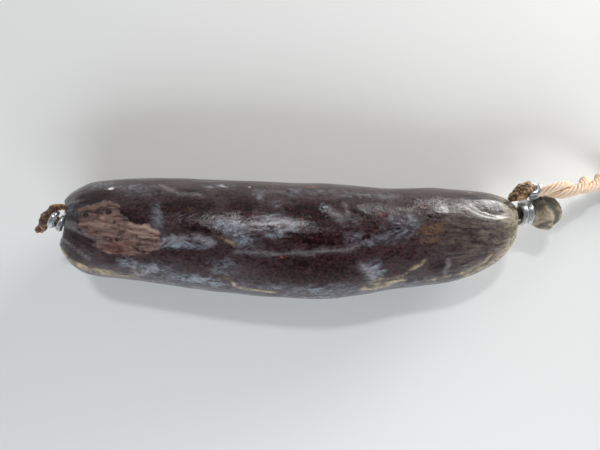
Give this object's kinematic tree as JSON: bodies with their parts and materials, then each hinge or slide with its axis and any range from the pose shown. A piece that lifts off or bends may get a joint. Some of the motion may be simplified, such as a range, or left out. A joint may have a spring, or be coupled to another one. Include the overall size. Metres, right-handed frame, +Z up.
{
  "type": "blood sausage",
  "caption": "Whole blood sausage: dark filling in a translucent casing, clipped shut at both ends, with a dried tail, a folded knob and a twisted hanging twine.",
  "frame": {"origin": "on the surface the sausage lies on, under the middle of its own length and width without the twine", "axes": "+X along the sausage towards the end with the hanging twine, +Y across it to the side the two necks bend to, +Z up"},
  "size_m": [0.3278, 0.0631, 0.0478],
  "materials": {
    "filling": "moist dark meat paste, nearly black red, with paler fat specks",
    "casing": "thin translucent natural casing, half gloss, dry and tan in patches",
    "clip_metal": "bare bent wire, dulled and scratched",
    "twine": "pale cream cotton twine of laid yarns"
  },
  "bodies": {
    "root": {"filling": "filling", "casing": "casing", "left_clip": "clip_metal", "right_clip": "clip_metal", "loop_clip": "clip_metal", "twine_twisted": "twine", "twine_eye": "twine"}
  },
  "joints": []
}
